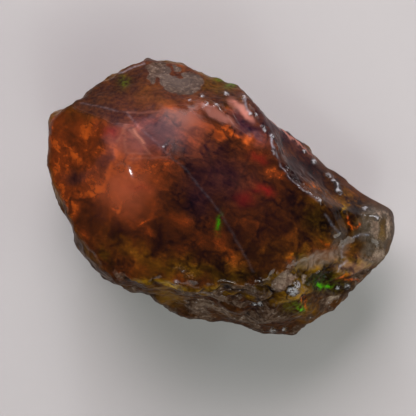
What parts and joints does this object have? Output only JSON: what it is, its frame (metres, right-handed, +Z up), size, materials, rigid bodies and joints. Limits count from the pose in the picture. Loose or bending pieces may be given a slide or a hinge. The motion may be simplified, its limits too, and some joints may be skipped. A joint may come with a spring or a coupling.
{
  "type": "rough opal",
  "caption": "Rough Ethiopian opal, one natural stone with a glassy window on top and host-rock crust along its lower side, lying on a flat break.",
  "frame": {"origin": "on the surface that the stone lies on, at the middle of its plan", "axes": "+X along the stone towards its crusted nose, +Y across it towards the frosted bevel, +Z up out of the glassy window"},
  "size_m": [0.053, 0.034, 0.023],
  "materials": {
    "opal": "glossy, translucent amber brown, with matt grey-brown host rock where the crust is left"
  },
  "bodies": {
    "root": {"rough_opal": "opal"}
  },
  "joints": []
}
